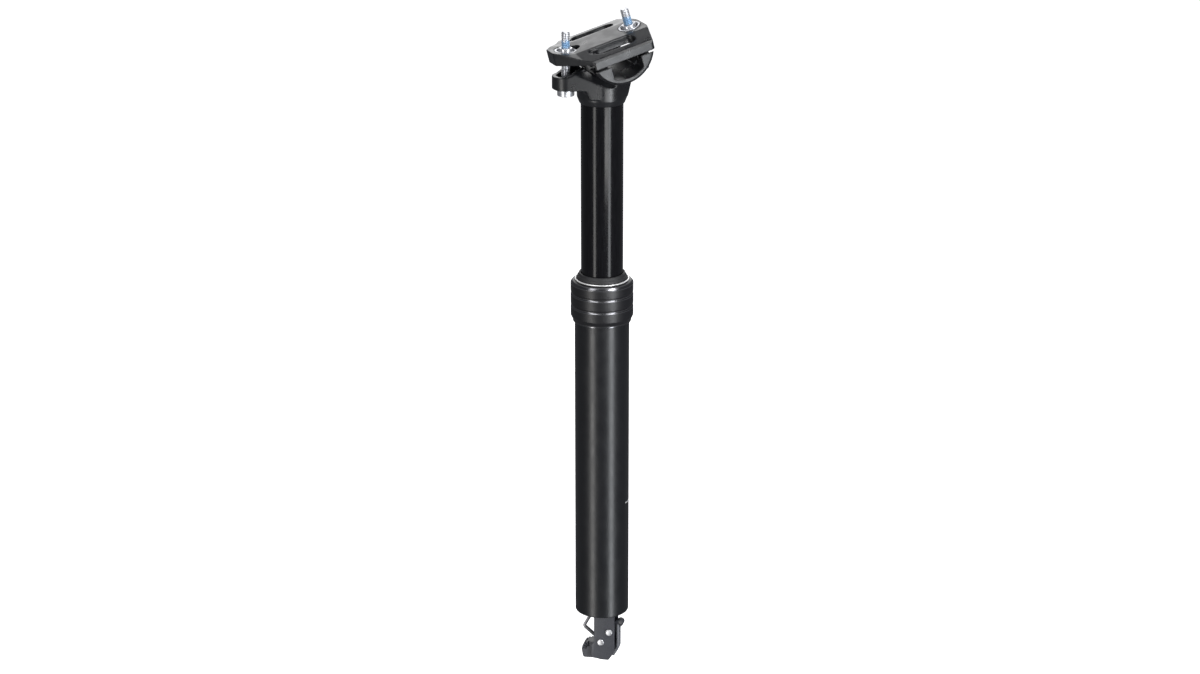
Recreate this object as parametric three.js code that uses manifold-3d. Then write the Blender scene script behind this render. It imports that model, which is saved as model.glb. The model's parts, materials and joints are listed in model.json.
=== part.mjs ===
// Telescopic seatpost with a gas spring, a two-bolt saddle clamp and a cable-operated release.
// Millimetres. +Z runs up the post, +X points to the rear of the bicycle, +Y to the rider's right.
// The origin is on the post's axis at the underside of the collar, where the post leaves the seat tube.
import * as THREE from "three";
import { mergeVertices } from "three/addons/utils/BufferGeometryUtils.js";
import Module from "manifold-3d";

const wasm = await Module();
wasm.setup();

// ---- driving dimensions ----
const GAP = 0.3; // between pieces that touch
const SEGMENTS = 36; // facets round a full circle
const INNER = 24; // facets round a piece inside the post
const FINE = 16; // facets round a small circle

const TUBE_R = 15.8; // 31.6 mm seat tube size
const TUBE_BORE_R = 14.2;
const TUBE_TOP = 14;
const TUBE_BOTTOM = -183;

const COLLAR_R = 18.1;
const COLLAR_LIP_R = 16.9;
const COLLAR_TOP = 24.8;

const STANCHION_R = 12.1;
const STANCHION_BORE_R = 10.2;
const STANCHION_TOP = 141.8;
const STANCHION_BOTTOM = -62;

const NECK_R = 14.3;
const NECK_BOTTOM = 129.9;

const CYLINDER_R = 9.6; // gas spring cylinder, inside the stanchion
const CYLINDER_BORE_R = 8;
const CYLINDER_BOTTOM = -58;
const CYLINDER_TOP = 124;
const ROD_R = 4.5;

const KEY_R = 1.5; // brass anti-rotation keys
const KEY_CIRCLE_R = 13.2;
const KEY_BOTTOM = -33;
const KEY_LENGTH = 12;
const KEY_COUNT = 3;

const CLAMP_TILT = THREE.MathUtils.degToRad(14.7); // the rails' slope against the post's square
const CLAMP = new THREE.Vector2(1.42, 165.15); // centre the clamp tilts about, x and z
const CRADLE_R = 19.3;
const CRADLE_RIM = 3.2;
const CRADLE_TOP = -6.5; // pads, measured square to the rails from the tilt centre
const WING_FRONT = -18.2;
const WING_REAR = 19.2;
const WING_HALF_WIDTH = 26.4;
const NOSE_FRONT = -33;
const NOSE_BEND = -21.5; // where the plate's top bends up to the level nose, along the rails
const WING_BOTTOM = -5.3;
const SPINE_TOP = 2.6;
const SPINE_REAR = 24.5;
const RAIL_R = 3.6; // channel for a 7 mm saddle rail
const RAIL_Y = 21.5;
const RAIL_H = -5.65;

const BOLT_R = 2.5; // M5
const BOLT_STUD = 11.3; // length of thread beyond a nut's centre
const NUT_H = 2.4; // nut centres, square to the rails from the tilt centre
const FRONT_NUT_A = -23.6; // and along the rails
const REAR_NUT_A = 16.2;
const FRONT_GRIP = 21.4; // from the bolt head's seat to the nut's centre
const REAR_GRIP = 21.8;
const REAR_LEAN = THREE.MathUtils.degToRad(16.7);

const ACTUATOR_YAW = THREE.MathUtils.degToRad(-35.3); // the release is turned from the saddle's line
const CHEEK_Y = 4.4; // inside faces of the bracket's cheeks
const CHEEK_OUT = 6.2;
const LEVER_PIVOT = new THREE.Vector2(5.75, -196.1);
const FOOT_PIN = new THREE.Vector2(0.7, -203);
const CABLE_BARREL = new THREE.Vector2(11.45, -191.25);

// A point given along the rails (a) and square to them (h), in the post's x and z.
function fromClamp(a, h) {
  const c = Math.cos(CLAMP_TILT);
  const s = Math.sin(CLAMP_TILT);
  return [CLAMP.x + a * c - h * s, CLAMP.y + a * s + h * c];
}

const FRONT_NUT = new THREE.Vector2(...fromClamp(FRONT_NUT_A, NUT_H));
const REAR_NUT = new THREE.Vector2(...fromClamp(REAR_NUT_A, NUT_H));

// ---- materials ----
const finish = (color, roughness, metalness) => new THREE.MeshStandardMaterial({ color, roughness, metalness });
const SATIN_BLACK = finish(0x1c1c1f, 0.45, 0.6);
const GLOSS_BLACK = finish(0x101013, 0.18, 0.7);
const FORGED_BLACK = finish(0x202023, 0.4, 0.6);
const MATTE_BLACK = finish(0x2b2c30, 0.7, 0.2);
const RUBBER = finish(0x19191b, 0.85, 0);
const STEEL = finish(0xb9bcc0, 0.3, 1);
const BRASS = finish(0xb08d4a, 0.4, 1);
const ALUMINIUM = finish(0x8f9296, 0.35, 1);
const NYLON = finish(0x3a3a3c, 0.6, 0);

// ---- solids ----
function solid(geometry) {
  const bare = new THREE.BufferGeometry();
  const flat = geometry.index ? geometry.toNonIndexed() : geometry;
  bare.setAttribute("position", flat.getAttribute("position").clone());
  const merged = mergeVertices(bare, 1e-4);
  return new wasm.Manifold(
    new wasm.Mesh({
      numProp: 3,
      vertProperties: new Float32Array(merged.attributes.position.array),
      triVerts: new Uint32Array(merged.index.array),
    }),
  );
}

function geometryOf(manifold) {
  const mesh = manifold.getMesh();
  const geometry = new THREE.BufferGeometry();
  geometry.setAttribute("position", new THREE.BufferAttribute(mesh.vertProperties, 3));
  geometry.setIndex(new THREE.BufferAttribute(mesh.triVerts, 1));
  const flat = geometry.toNonIndexed();
  flat.computeVertexNormals();
  return flat;
}

const cut = (body, ...tools) => tools.reduce((rest, tool) => rest.subtract(tool), body);
const join = (body, ...others) => others.reduce((rest, other) => rest.add(other), body);

// A closed profile of [radius, height] pairs turned about the Z axis, listed anticlockwise.
function turned(profile, segments = SEGMENTS) {
  const points = [...profile, profile[0]].map(([r, z]) => new THREE.Vector2(r, z));
  return new THREE.LatheGeometry(points, segments).rotateX(Math.PI / 2);
}

const ring = (inner, outer, bottom, top, segments) =>
  turned([[inner, bottom], [outer, bottom], [outer, top], [inner, top]], segments);

const hexNut = (bore, corner, bottom, top) =>
  geometryOf(cut(solid(uprightRod(corner, bottom, top, 6)), solid(uprightRod(bore, bottom - 1, top + 1))));

// A shape drawn in X and Z, extruded between two Y values.
function sideExtrusion(shape, yLow, yHigh, curveSegments = 12) {
  const depth = yHigh - yLow;
  const geometry = new THREE.ExtrudeGeometry(shape, { depth, bevelEnabled: false, curveSegments });
  return geometry.rotateX(Math.PI / 2).translate(0, yHigh, 0);
}

// A shape drawn in X and Y, extruded between two Z values.
function planExtrusion(shape, bottom, top, curveSegments = 12) {
  const depth = top - bottom;
  const geometry = new THREE.ExtrudeGeometry(shape, { depth, bevelEnabled: false, curveSegments });
  return geometry.translate(0, 0, bottom);
}

// A shape drawn in Y and Z, extruded between two X values.
function alongX(shape, front, rear) {
  const geometry = new THREE.ExtrudeGeometry(shape, { depth: rear - front, bevelEnabled: false });
  return geometry.rotateX(Math.PI / 2).rotateZ(Math.PI / 2).translate(front, 0, 0);
}

const polygon = (pairs) => new THREE.Shape(pairs.map(([x, y]) => new THREE.Vector2(x, y)));

function box(xLow, xHigh, yLow, yHigh, zLow, zHigh) {
  const geometry = new THREE.BoxGeometry(xHigh - xLow, yHigh - yLow, zHigh - zLow);
  return geometry.translate((xLow + xHigh) / 2, (yLow + yHigh) / 2, (zLow + zHigh) / 2);
}

function uprightRod(r, bottom, top, segments = FINE) {
  const rod = new THREE.CylinderGeometry(r, r, top - bottom, segments).rotateX(Math.PI / 2);
  return rod.translate(0, 0, (bottom + top) / 2);
}

const crossRod = (r, x, z, yLow, yHigh, segments = FINE) =>
  new THREE.CylinderGeometry(r, r, yHigh - yLow, segments).translate(x, (yLow + yHigh) / 2, z);

function foreAftRod(r, xLow, xHigh, y, z, segments = FINE) {
  const rod = new THREE.CylinderGeometry(r, r, xHigh - xLow, segments).rotateZ(Math.PI / 2);
  return rod.translate((xLow + xHigh) / 2, y, z);
}

// Outline round a row of circles [x, y, r] or points (r 0), as the convex hull that a tight belt takes.
function belt(circles, steps = 32) {
  const points = circles.flatMap(([x, y, r]) =>
    Array.from({ length: r > 0 ? steps : 1 }, (_, i) => {
      const angle = (i / steps) * 2 * Math.PI;
      return new THREE.Vector2(x + r * Math.cos(angle), y + r * Math.sin(angle));
    }),
  );
  points.sort((p, q) => p.x - q.x || p.y - q.y);
  const turn = (o, p, q) => (p.x - o.x) * (q.y - o.y) - (p.y - o.y) * (q.x - o.x);
  const half = (list) =>
    list.reduce((chain, p) => {
      while (chain.length > 1 && turn(chain.at(-2), chain.at(-1), p) <= 1e-9) chain.pop();
      chain.push(p);
      return chain;
    }, []);
  const lower = half(points);
  const upper = half([...points].reverse());
  return new THREE.Shape([...lower.slice(0, -1), ...upper.slice(0, -1)]);
}

const root = new THREE.Group();

function place(name, geometry, material, parent = root) {
  const mesh = new THREE.Mesh(geometry, material);
  mesh.name = name;
  parent.add(mesh);
  return mesh;
}

// ---- outer tube, collar and seals ----
function keyCutters(r, bottom, top) {
  return Array.from({ length: KEY_COUNT }, (_, i) => {
    const angle = (i / KEY_COUNT) * 2 * Math.PI + Math.PI / 2;
    const rod = uprightRod(r, bottom, top, 12);
    return solid(rod.translate(KEY_CIRCLE_R * Math.cos(angle), KEY_CIRCLE_R * Math.sin(angle), 0));
  });
}

function outerTube() {
  const edge = 1.4; // rounding at the bottom
  const shell = turned([
    [TUBE_BORE_R, TUBE_BOTTOM],
    [TUBE_R - edge, TUBE_BOTTOM],
    [TUBE_R - edge * 0.3, TUBE_BOTTOM + edge * 0.35],
    [TUBE_R, TUBE_BOTTOM + edge * 1.3],
    [TUBE_R, TUBE_TOP],
    [TUBE_BORE_R, TUBE_TOP],
  ]);
  return geometryOf(cut(solid(shell), ...keyCutters(KEY_R + 0.25, -166, -20.4)));
}

function sealCollar() {
  const groove = 0.6;
  const grooveAt = (z) => [
    [COLLAR_R, z - 0.8],
    [COLLAR_R - groove, z - 0.3],
    [COLLAR_R - groove, z + 0.3],
    [COLLAR_R, z + 0.8],
  ];
  return turned([
    [TUBE_R + 0.2, 0],
    [COLLAR_LIP_R, 0],
    [COLLAR_LIP_R, 1.2],
    [COLLAR_R, 3.6],
    ...grooveAt(9.8),
    ...grooveAt(17.2),
    [COLLAR_R, COLLAR_TOP - 2.6],
    [COLLAR_R - 0.7, COLLAR_TOP - 1.1],
    [COLLAR_R - 1.7, COLLAR_TOP - 0.3],
    [COLLAR_R - 2.6, COLLAR_TOP],
    [14.6, COLLAR_TOP],
    [14.6, TUBE_TOP + GAP],
    [TUBE_R + 0.2, TUBE_TOP + GAP],
  ]);
}

place("outer_tube", outerTube(), SATIN_BLACK);
place("seal_collar", sealCollar(), GLOSS_BLACK);
place(
  "wiper_seal",
  turned([
    [12.7, 20.4],
    [14.3, 20.4],
    [14.3, 25.4],
    [14.6, 25.8],
    [14.3, 27.2],
    [13.4, 28.9],
    [12.4, 29.3],
    [12.4, 28.2],
    [12.8, 27.2],
  ]),
  RUBBER,
);
place("wiper_ring", turned([[14.9, 25.1], [15.5, 25.1], [15.8, 25.45], [15.5, 25.8], [14.9, 25.8]]), STEEL);
place("oil_seal", ring(12.35, 14.2, 16.4, 19.9), RUBBER);
place("upper_bushing", ring(STANCHION_R + 0.12, TUBE_BORE_R - 0.12, -14, 13.6), NYLON);

// ---- stanchion, its guides and keys ----
place(
  "stanchion",
  geometryOf(
    cut(
      solid(ring(STANCHION_BORE_R, STANCHION_R, STANCHION_BOTTOM, STANCHION_TOP)),
      ...keyCutters(KEY_R + 0.12, KEY_BOTTOM - 0.3, KEY_BOTTOM + KEY_LENGTH + 0.3),
    ),
  ),
  GLOSS_BLACK,
);
place("lower_bushing", ring(STANCHION_R + 0.12, TUBE_BORE_R - 0.15, STANCHION_BOTTOM, -52), NYLON);
place("top_out_bumper", ring(STANCHION_R + 0.15, TUBE_BORE_R - 0.2, -20.1, -14.3), RUBBER);
for (let i = 0; i < KEY_COUNT; i += 1) {
  const angle = (i / KEY_COUNT) * 2 * Math.PI + Math.PI / 2;
  const key = place(`guide_key_${i + 1}`, uprightRod(KEY_R, KEY_BOTTOM, KEY_BOTTOM + KEY_LENGTH, 12), BRASS);
  key.position.set(KEY_CIRCLE_R * Math.cos(angle), KEY_CIRCLE_R * Math.sin(angle), 0);
}

// ---- gas spring ----
place("gas_cylinder", ring(CYLINDER_BORE_R, CYLINDER_R, CYLINDER_BOTTOM, CYLINDER_TOP, INNER), STEEL);
place(
  "cylinder_top_plug",
  turned([
    [0, CYLINDER_TOP - 9],
    [CYLINDER_BORE_R - 0.15, CYLINDER_TOP - 9],
    [CYLINDER_BORE_R - 0.15, CYLINDER_TOP + GAP],
    [CYLINDER_R, CYLINDER_TOP + GAP],
    [CYLINDER_R, STANCHION_TOP - 0.2],
    [0, STANCHION_TOP - 0.2],
  ], INNER),
  ALUMINIUM,
);

// A ring between the rod and the cylinder's bore, between two heights above the cylinder's lower end.
const inGland = (rodGap, boreGap, low, high) =>
  ring(ROD_R + rodGap, CYLINDER_BORE_R - boreGap, CYLINDER_BOTTOM + low, CYLINDER_BOTTOM + high, INNER);

place("rod_gland", inGland(0.15, 0.15, 2, 10), ALUMINIUM);
place("gland_seal", inGland(0.1, 0.2, 10.3, 12.6), RUBBER);
place("gland_clip", inGland(1.2, 0.2, 0.4, 1.6), STEEL);

const ROD_BOTTOM = -186;
const ROD_TOP = -28;
const PIN_BORE_R = 1.75; // passage for the release pin, up the lower end of the rod
place(
  "piston_rod",
  turned([
    [0, -160],
    [PIN_BORE_R, -160],
    [PIN_BORE_R, ROD_BOTTOM],
    [3.4, ROD_BOTTOM],
    [3.4, -166],
    [ROD_R, -166],
    [ROD_R, ROD_TOP - 8],
    [2.8, ROD_TOP - 8],
    [2.8, ROD_TOP + 3],
    [0, ROD_TOP + 3],
  ], INNER),
  STEEL,
);
place("main_piston", ring(3, CYLINDER_BORE_R - 0.25, ROD_TOP - 7.6, ROD_TOP, INNER), ALUMINIUM);
place("piston_nut", hexNut(3.1, 5.2, ROD_TOP + GAP, ROD_TOP + 3), STEEL);

const FLOAT_BOTTOM = 84; // floating piston, between the oil and the gas
place(
  "floating_piston",
  turned([
    [0, FLOAT_BOTTOM],
    [7.7, FLOAT_BOTTOM],
    [7.7, FLOAT_BOTTOM + 3],
    [6.4, FLOAT_BOTTOM + 3],
    [6.4, FLOAT_BOTTOM + 6],
    [7.7, FLOAT_BOTTOM + 6],
    [7.7, FLOAT_BOTTOM + 9],
    [0, FLOAT_BOTTOM + 9],
  ], INNER),
  ALUMINIUM,
);
place("floating_piston_seal", ring(6.6, 7.85, FLOAT_BOTTOM + 3.3, FLOAT_BOTTOM + 5.7, INNER), RUBBER);

// ---- base of the post: plug, rod nut, release pin ----
place(
  "base_plug",
  turned([
    [3.7, -176.4],
    [6.9, -176.4],
    [6.9, -181],
    [TUBE_BORE_R - 0.15, -181],
    [TUBE_BORE_R - 0.15, -170],
    [5, -170],
    [5, -166.4],
    [3.7, -166.4],
  ], INNER),
  ALUMINIUM,
);
place("rod_nut", hexNut(3.7, 6.4, -180.6, -176.7), STEEL);
place("release_pin", turned([[0, -193.5], [0.8, -193.4], [1.4, -192.7], [1.4, -168], [0, -168]], FINE), STEEL);

// ---- head: neck, seat for the cradle and an ear for each bolt ----
const tilted = (geometry) => geometry.rotateY(-CLAMP_TILT).translate(CLAMP.x, 0, CLAMP.y);

const alongBolt = (geometry, nut, lean) => geometry.rotateY(-lean).translate(nut.x, 0, nut.y);

const FRONT_SEAT = FRONT_NUT.y - FRONT_GRIP;
const FOLD = 2.6; // where the front arm's sloping flanks end, in x

function headForging() {
  const neck = turned([
    [0, NECK_BOTTOM],
    [12.7, NECK_BOTTOM],
    [12.9, NECK_BOTTOM + 0.6],
    [NECK_R, NECK_BOTTOM + 3.6],
    [NECK_R, 147],
    [0, 147],
  ]);
  const side = new THREE.Shape();
  side.moveTo(-13, 137.2);
  side.quadraticCurveTo(-15, FRONT_SEAT - 0.3, -17, FRONT_SEAT);
  side.lineTo(-29, FRONT_SEAT);
  side.lineTo(-30.2, FRONT_SEAT + 1.2);
  side.lineTo(-30.2, 145.6);
  side.lineTo(-29.4, 147);
  side.lineTo(-23, 148.2);
  side.lineTo(-12.4, 153);
  side.lineTo(-12.4, 158);
  side.lineTo(...fromClamp(9.8, -8));
  side.lineTo(...fromClamp(10.6, -12.7));
  side.lineTo(...fromClamp(19.8, -12.7));
  side.lineTo(...fromClamp(20.8, -13.7));
  side.lineTo(...fromClamp(20.8, -19.6));
  side.lineTo(...fromClamp(9.6, -19.6));
  side.lineTo(13.4, 141);
  side.lineTo(13, 137.2);
  const plan = planExtrusion(belt([[0, 0, NECK_R], [-21.6, 0, 8.2], [20.5, 0, 5.2]], 36), 120, 180);
  const body = solid(sideExtrusion(side, -15, 15, 6)).intersect(solid(plan));
  const seat = solid(crossRod(CRADLE_R + GAP, CLAMP.x, CLAMP.y, -20, 20, 48));
  const bore = solid(uprightRod(STANCHION_R + GAP, 120, STANCHION_TOP + GAP, SEGMENTS));
  const frontHole = solid(uprightRod(BOLT_R + GAP, 120, 180, FINE).translate(FRONT_NUT.x, 0, 0));
  const frontPocket = solid(planExtrusion(belt([[-23, 0, 4.4], [-16, 0, 4.4]], 24), 144.6, 180));
  const rearHole = solid(alongBolt(uprightRod(BOLT_R + GAP, -34, -6, FINE), REAR_NUT, REAR_LEAN));
  const rearSpot = solid(alongBolt(uprightRod(5.6, -REAR_GRIP - 9, -REAR_GRIP, FINE), REAR_NUT, REAR_LEAN));
  const flanks = [-1, 1].map((side) => {
    const away = polygon([[8 * side, 151], [8 * side, 165], [18 * side, 165], [18 * side, 135]]);
    return solid(alongX(away, -40, FOLD));
  });
  const arm = cut(join(body, solid(neck)), ...flanks);
  return geometryOf(cut(arm, seat, bore, frontHole, frontPocket, rearHole, rearSpot));
}

place("head", headForging(), FORGED_BLACK);

// ---- saddle clamp, drawn square and then tilted to the rails' slope ----
function railChannels(length) {
  return [-1, 1].map((side) => solid(foreAftRod(RAIL_R, -length, length, side * RAIL_Y, RAIL_H)));
}

function cradle() {
  const edge = 1.3;
  const drum = new THREE.LatheGeometry(
    [
      [0, -WING_HALF_WIDTH],
      [CRADLE_R - edge, -WING_HALF_WIDTH],
      [CRADLE_R, -WING_HALF_WIDTH + edge],
      [CRADLE_R, WING_HALF_WIDTH - edge],
      [CRADLE_R - edge, WING_HALF_WIDTH],
      [0, WING_HALF_WIDTH],
    ].map(([r, y]) => new THREE.Vector2(r, y)),
    48,
  );
  const inside = CRADLE_R - CRADLE_RIM;
  const window = new THREE.Shape();
  const floorAt = (a) => -Math.sqrt(inside * inside - a * a);
  const left = -8.2;
  const right = 9.7;
  window.moveTo(left, CRADLE_TOP + 1);
  for (let i = 0; i <= 8; i += 1) {
    const a = left + ((right - left) * i) / 8;
    window.lineTo(a, floorAt(a));
  }
  window.lineTo(right, CRADLE_TOP + 1);
  const body = cut(
    solid(drum),
    solid(box(-25, 25, -30, 30, CRADLE_TOP, 25)),
    solid(sideExtrusion(window, -30, 30)),
    solid(box(-25, 25, -16.4, 16.4, -12.2, 0)),
    solid(box(9, 25, -16.4, 16.4, -25, 0)),
    solid(box(-25, -16.2, -16.4, 16.4, -25, 0)),
    ...railChannels(30),
  );
  return tilted(geometryOf(body));
}

// The plate's crowned section along the rails, from a front to a rear value.
function crown(front, rear, bottom) {
  const edge = WING_HALF_WIDTH;
  const section = polygon([
    [-edge, bottom],
    [edge, bottom],
    [edge, -1],
    [edge - 1.4, 0.2],
    [9, SPINE_TOP],
    [-9, SPINE_TOP],
    [-edge + 1.4, 0.2],
    [-edge, -1],
  ]);
  return alongX(section, front, rear);
}

function plateBlank() {
  const main = solid(crown(NOSE_BEND, 28, WING_BOTTOM));
  const nose = crown(-16, 3, -12).translate(0, 0, -SPINE_TOP).rotateY(CLAMP_TILT);
  nose.translate(NOSE_BEND, 0, SPINE_TOP);
  const outline = belt([
    [NOSE_FRONT + 1.2, -4.4, 1.2],
    [NOSE_FRONT + 1.2, 4.4, 1.2],
    [WING_FRONT + 1.5, WING_HALF_WIDTH - 1.5, 1.5],
    [WING_FRONT + 1.5, -WING_HALF_WIDTH + 1.5, 1.5],
    [WING_REAR - 2, WING_HALF_WIDTH - 2, 2],
    [WING_REAR - 2, -WING_HALF_WIDTH + 2, 2],
    [SPINE_REAR - 2.5, 6, 2.5],
    [SPINE_REAR - 2.5, -6, 2.5],
  ], 8);
  const underNose = box(-40, NOSE_BEND + 4, -30, 30, -20, -2.2);
  const arch = polygon([[-17, -9], [17, -9], [17, WING_BOTTOM], [13, -2.2], [-13, -2.2], [-17, WING_BOTTOM]]);
  const blank = join(main, solid(nose)).intersect(solid(planExtrusion(outline, -12, 12)));
  return cut(blank, solid(underNose), solid(alongX(arch, -30, 30)));
}

function plate() {
  const slot = (side) => belt([[-9.2, side * 16, 4], [8.4, side * 16, 4]], 16);
  const hollow = (side) => belt([[-12.4, side * 14.4, 3], [9, side * 14.4, 3]], 16);
  const frontSlot = planExtrusion(belt([[-26.4, 0, 3.3], [-18.4, 0, 3.3]], 16), -10, 10);
  const rearSlot = planExtrusion(belt([[13.4, 0, 3.3], [18.2, 0, 3.3]], 16), -10, 10);
  const opened = cut(
    plateBlank(),
    ...[-1, 1].map((side) => solid(planExtrusion(slot(side), -10, 10))),
    ...[-1, 1].map((side) => solid(planExtrusion(hollow(side), 0.9, 10))),
    solid(frontSlot),
    solid(rearSlot),
    ...railChannels(30),
  );
  const spots = [[FRONT_NUT, 0], [REAR_NUT, REAR_LEAN]].flatMap(([nut, lean]) => [
    solid(alongBolt(uprightRod(6.6, -0.9, 10, 20), nut, lean)),
    solid(alongBolt(uprightRod(4.9, -2.5, 10, 20), nut, lean)),
  ]);
  return geometryOf(cut(solid(tilted(geometryOf(opened))), ...spots));
}

place("lower_cradle", cradle(), FORGED_BLACK);
place("upper_plate", plate(), FORGED_BLACK);

const washer = () => ring(4.8, 6.3, -0.6, 0.5, 20);
place("front_washer", alongBolt(washer(), FRONT_NUT, 0), STEEL);
place("rear_washer", alongBolt(washer(), REAR_NUT, REAR_LEAN), STEEL);

function nut() {
  return turned([[2.8, -0.6], [4.1, -0.6], [4.15, 0], [4.1, 0.9], [3.8, 1.9], [2.8, 1.9]], FINE);
}

function bolt(grip) {
  const seat = -grip - GAP;
  const body = turned([
    [0, seat - 3.8],
    [4.5, seat - 3.8],
    [4.9, seat - 3.4],
    [4.9, seat],
    [BOLT_R, seat],
    [BOLT_R, BOLT_STUD - 0.6],
    [BOLT_R - 0.6, BOLT_STUD],
    [0, BOLT_STUD],
  ], FINE);
  const socket = uprightRod(2.3, seat - 6, seat - 1.6, 6);
  return geometryOf(cut(solid(body), solid(socket)));
}

place("front_bolt", alongBolt(bolt(FRONT_GRIP), FRONT_NUT, 0), STEEL);
place("rear_bolt", alongBolt(bolt(REAR_GRIP), REAR_NUT, REAR_LEAN), STEEL);
place("front_nut", alongBolt(nut(), FRONT_NUT, 0), STEEL);
place("rear_nut", alongBolt(nut(), REAR_NUT, REAR_LEAN), STEEL);

// ---- release under the tube, drawn square and then turned ----
const release = new THREE.Group();
release.rotation.z = ACTUATOR_YAW;
root.add(release);

function bracket() {
  const disc = ring(3.8, 13.4, -184, -181.3, SEGMENTS);
  const side = polygon([
    [-3.6, -183],
    [8.8, -183],
    [8.8, -209.4],
    [5.6, -214],
    [4.6, -214.6],
    [0, -214.6],
    [-5.2, -213.9],
    [-5.2, -205.4],
    [-3.6, -203.6],
  ]);
  const cheeks = [-1, 1].map((s) => {
    const low = s < 0 ? -CHEEK_OUT : CHEEK_Y;
    const high = s < 0 ? -CHEEK_Y : CHEEK_OUT;
    return solid(sideExtrusion(side, low, high));
  });
  const holes = [LEVER_PIVOT, FOOT_PIN].map((p) => solid(crossRod(1.55 + 0.1, p.x, p.y, -8, 8, FINE)));
  return geometryOf(cut(join(solid(disc), ...cheeks), ...holes));
}

function rivet(pivot) {
  const profile = [
    [0, -CHEEK_OUT - 1.2],
    [1.5, -CHEEK_OUT - 1.2],
    [2.1, -CHEEK_OUT - 0.8],
    [2.1, -CHEEK_OUT - 0.1],
    [1.55, -CHEEK_OUT - 0.1],
    [1.55, CHEEK_OUT + 0.1],
    [2.1, CHEEK_OUT + 0.1],
    [2.1, CHEEK_OUT + 0.8],
    [1.5, CHEEK_OUT + 1.2],
    [0, CHEEK_OUT + 1.2],
  ].map(([r, y]) => new THREE.Vector2(r, y));
  return new THREE.LatheGeometry(profile, FINE).translate(pivot.x, 0, pivot.y);
}

function lever() {
  const { x, y: z } = LEVER_PIVOT;
  const long = belt([[x, z, 2.8], [CABLE_BARREL.x, CABLE_BARREL.y, 2.1]], 16);
  const nose = belt([[x, z, 2.6], [-0.3, -195.3, 1.5]], 16);
  return geometryOf(
    cut(
      join(solid(sideExtrusion(long, -1.85, 1.85)), solid(sideExtrusion(nose, -1.85, 1.85))),
      solid(crossRod(1.65, x, z, -8, 8, FINE)),
      solid(crossRod(1.4, CABLE_BARREL.x, CABLE_BARREL.y, -8, 8, FINE)),
    ),
  );
}

function cableBarrel() {
  const body = crossRod(1.2, CABLE_BARREL.x, CABLE_BARREL.y, -1.8, 1.8, FINE);
  const wireHole = uprightRod(0.55, -200, -180, 12).translate(CABLE_BARREL.x, 0, 0);
  return geometryOf(cut(solid(body), solid(wireHole)));
}

// The quadrant that leads the cable in, with short grooves round its edge.
function cableFoot() {
  const width = CHEEK_Y - GAP;
  const [hubX, hubZ] = [-6.6, -209.5];
  const round = belt([
    [hubX, hubZ, 5],
    [-3, -207.8, 3.2],
    [-9.4, -213.4, 1.6],
    [3.6, -212.8, 1.8],
    [4, -207, 3],
  ], 20);
  const lug = belt([[FOOT_PIN.x, FOOT_PIN.y, 2.6], [2.6, -208, 4]], 16);
  const grooves = [100, 123, 146, 169].flatMap((degrees) => {
    const angle = THREE.MathUtils.degToRad(degrees);
    const slot = belt([2.4, 6].map((r) => [hubX + r * Math.cos(angle), hubZ + r * Math.sin(angle), 0.4]), 8);
    return [solid(sideExtrusion(slot, -8, 1.1 - width)), solid(sideExtrusion(slot, width - 1.1, 8))];
  });
  return geometryOf(
    cut(
      join(solid(sideExtrusion(round, -width, width)), solid(sideExtrusion(lug, -width, width))),
      solid(crossRod(1.65, FOOT_PIN.x, FOOT_PIN.y, -8, 8, FINE)),
      ...grooves,
    ),
  );
}

function strip(points, thickness, yLow, yHigh) {
  const outer = points.map(([x, z]) => solid(crossRod(thickness / 2, x, z, yLow, yHigh, 12)));
  const spans = points.slice(1).map(([x, z], i) => {
    const [px, pz] = points[i];
    return solid(sideExtrusion(belt([[px, pz, thickness / 2], [x, z, thickness / 2]], 12), yLow, yHigh));
  });
  return geometryOf(join(outer[0], ...outer.slice(1), ...spans));
}

// A strip that stands before the lever's end, forked at the top so that the end passes between its prongs.
function cableGuard() {
  const bent = strip([[10.3, -192.6], [10.3, -206.4], [9.6, -209.4], [7.6, -212.2]], 1.4, -2.9, 2.9);
  return geometryOf(cut(solid(bent), solid(box(8, 14, -2.15, 2.15, -199.2, -188))));
}

function springCoil() {
  const turns = 2;
  const points = Array.from({ length: turns * 8 + 1 }, (_, i) => {
    const angle = (i / 8) * 2 * Math.PI;
    return new THREE.Vector3(2.5 * Math.cos(angle), (i / 8) * 0.8, 2.5 * Math.sin(angle));
  });
  const path = new THREE.CatmullRomCurve3(points);
  const wire = new THREE.Shape(new THREE.Path().absarc(0, 0, 0.26, 0, 2 * Math.PI).getPoints(3));
  const coil = new THREE.ExtrudeGeometry(wire, { steps: turns * 12, extrudePath: path, bevelEnabled: false });
  return coil.translate(LEVER_PIVOT.x, 2.25, LEVER_PIVOT.y);
}

place("actuator_bracket", bracket(), MATTE_BLACK, release);
place("lever_pin", rivet(LEVER_PIVOT), STEEL, release);
place("foot_pin", rivet(FOOT_PIN), STEEL, release);
place("release_lever", lever(), MATTE_BLACK, release);
place("cable_barrel", cableBarrel(), STEEL, release);
place("cable_foot", cableFoot(), MATTE_BLACK, release);
place("cable_guard", cableGuard(), MATTE_BLACK, release);
place("wire_clip", strip([[-6, -187.5], [-10.6, -195.2], [-4.8, -200]], 1.9, -2.3, -0.6), STEEL, release);
place("lever_spring", springCoil(), STEEL, release);

export default root;
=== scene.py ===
# Studio scene of the telescopic seatpost: refined pieces, materials, lights and camera
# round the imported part.
import json
import math

import bmesh
import bpy
from mathutils import Matrix, Vector


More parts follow.
